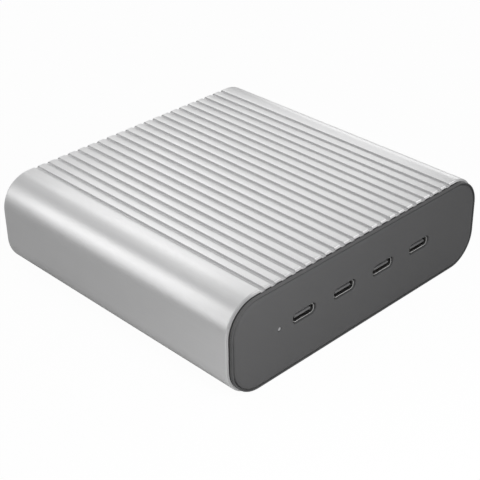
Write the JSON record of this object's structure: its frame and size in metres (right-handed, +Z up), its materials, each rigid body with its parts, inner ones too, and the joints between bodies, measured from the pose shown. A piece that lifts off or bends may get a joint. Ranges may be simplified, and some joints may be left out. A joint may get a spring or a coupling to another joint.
{
  "type": "laptop charger",
  "caption": "Desktop charger: a ribbed metal sleeve with rounded sides, a dark front panel with a row of charging ports, and a mains inlet at the back.",
  "frame": {"origin": "centre of the base, on the plane of the feet's undersides", "axes": "+X to the right seen from the front, +Y from the port panel to the inlet panel, +Z up"},
  "size_m": [0.11, 0.1068, 0.0326],
  "materials": {
    "sleeve_metal": "bead-blasted and clear anodised",
    "panel_plastic": "fine satin moulding texture",
    "foot_rubber": "matte",
    "port_steel": "satin nickel plate",
    "tongue_plastic": "matte moulding",
    "light_lens": "frosted clear",
    "circuit_board": "green solder mask",
    "plated_steel": "bright nickel plate",
    "insulation": "matte black",
    "inlet_plastic": "fine moulded black",
    "ferrite": "sintered dark grey",
    "copper_wire": "enamelled wire",
    "winding_tape": "yellow film tape",
    "film_box": "yellow moulded box",
    "disc_coating": "dipped blue epoxy",
    "black_resin": "moulded epoxy",
    "can_sleeve": "shrink sleeve",
    "can_metal": "bare drawn can",
    "heat_pad": "soft grey-blue pad",
    "bracket_metal": "mill finish"
  },
  "bodies": {
    "root": {"housing_sleeve": "sleeve_metal", "front_panel": "panel_plastic", "rear_panel": "panel_plastic", "foot_front_left": "foot_rubber", "foot_front_right": "foot_rubber", "foot_rear_left": "foot_rubber", "foot_rear_right": "foot_rubber", "port_shell_1": "port_steel", "port_shell_2": "port_steel", "port_shell_3": "port_steel", "port_shell_4": "port_steel", "port_tongue_1": "tongue_plastic", "port_tongue_2": "tongue_plastic", "port_tongue_3": "tongue_plastic", "port_tongue_4": "tongue_plastic", "light_pipe": "light_lens", "light_chip": "light_lens", "port_board": "circuit_board", "port_board_screws": "plated_steel", "main_board": "circuit_board", "floor_sheet": "insulation", "inlet_body": "inlet_plastic", "pin_line": "plated_steel", "pin_neutral": "plated_steel", "pin_earth": "plated_steel", "line_choke_base": "insulation", "line_choke_core": "ferrite", "line_choke_coil_left": "copper_wire", "line_choke_coil_right": "copper_wire", "filter_capacitor": "film_box", "safety_capacitor": "disc_coating", "fuse": "black_resin", "bridge_rectifier": "black_resin", "pfc_choke_core": "ferrite", "pfc_choke_coil": "copper_wire", "bulk_capacitor_left": "can_sleeve", "bulk_capacitor_right": "can_sleeve", "transformer_core": "ferrite", "transformer_coil": "winding_tape", "transformer_pad": "heat_pad", "switch_left": "black_resin", "switch_right": "black_resin", "switch_pad": "heat_pad", "heat_bracket": "bracket_metal", "bracket_pad": "heat_pad", "rectifier_left": "black_resin", "rectifier_right": "black_resin", "control_chip": "black_resin", "link_header": "insulation", "output_inductor_1": "ferrite", "output_inductor_2": "ferrite", "output_inductor_3": "ferrite", "output_inductor_4": "ferrite", "output_can_1": "can_metal", "output_can_2": "can_metal", "output_can_3": "can_metal", "output_can_4": "can_metal"}
  },
  "joints": []
}
